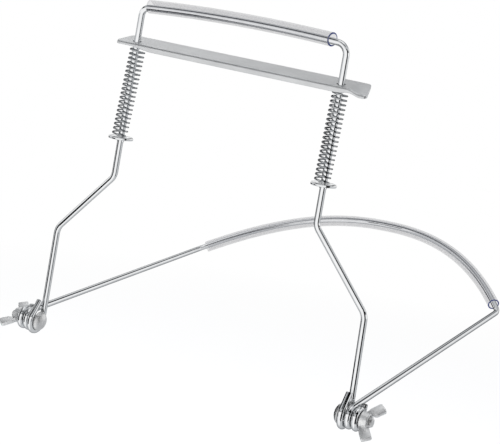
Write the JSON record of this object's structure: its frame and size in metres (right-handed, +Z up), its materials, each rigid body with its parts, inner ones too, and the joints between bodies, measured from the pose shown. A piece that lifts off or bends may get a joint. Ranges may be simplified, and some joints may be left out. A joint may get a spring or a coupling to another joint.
{
  "type": "harmonica holder",
  "caption": "Neck rack of bent wire: a loop rests on the neck, and a frame with a sprung clamp plate tilts on two wing-nut pivots.",
  "frame": {"origin": "on the front side of the neck sleeve, in the middle of the loop, where the rack rests against the neck", "axes": "+Z up along the upright legs of the clamp frame, +Y back to the neck loop, +X to the viewer's right when the rack is seen from the front"},
  "size_m": [0.2074, 0.233, 0.1762],
  "materials": {
    "chrome_wire": "bright plated steel wire",
    "clear_sleeve": "clear soft plastic tube with a faint blue edge",
    "polished_plate": "bright plated sheet steel",
    "nickel_hardware": "satin nickel-plated steel",
    "zinc_nut": "dull grey zinc-plated steel",
    "spring_steel": "bright drawn spring wire"
  },
  "bodies": {
    "neck": {"neck_wire": "chrome_wire", "neck_sleeve": "clear_sleeve", "left_bolt": "nickel_hardware", "right_bolt": "nickel_hardware"},
    "arm_frame": {"clamp_frame_wire": "chrome_wire", "top_bar_sleeve": "clear_sleeve", "left_stop_washer": "nickel_hardware", "right_stop_washer": "nickel_hardware", "left_spring": "spring_steel", "right_spring": "spring_steel"},
    "clamp": {"clamp_plate": "polished_plate"},
    "left_nut": {"left_wing_nut": "zinc_nut"},
    "right_nut": {"right_wing_nut": "zinc_nut"}
  },
  "joints": [
    {"name": "frame_tilt", "type": "hinge", "parent": "neck", "child": "arm_frame", "pos_m": [0, -0.2167, -0.05462], "axis": [1, 0, 0], "range_deg": [-90, 150]},
    {"name": "plate_slide", "type": "slide", "parent": "arm_frame", "child": "clamp", "axis": [0, 0, 1], "range_m": [-0.024, 0], "stiffness_N_per_m": 1200, "deforming": ["left_spring", "right_spring"]},
    {"name": "left_nut_turn", "type": "hinge", "parent": "neck", "child": "left_nut", "pos_m": [-0.09735, -0.2167, -0.05462], "axis": [-1, 0, 0], "continuous": true},
    {"name": "right_nut_turn", "type": "hinge", "parent": "neck", "child": "right_nut", "pos_m": [0.09735, -0.2167, -0.05462], "axis": [1, 0, 0], "continuous": true}
  ]
}
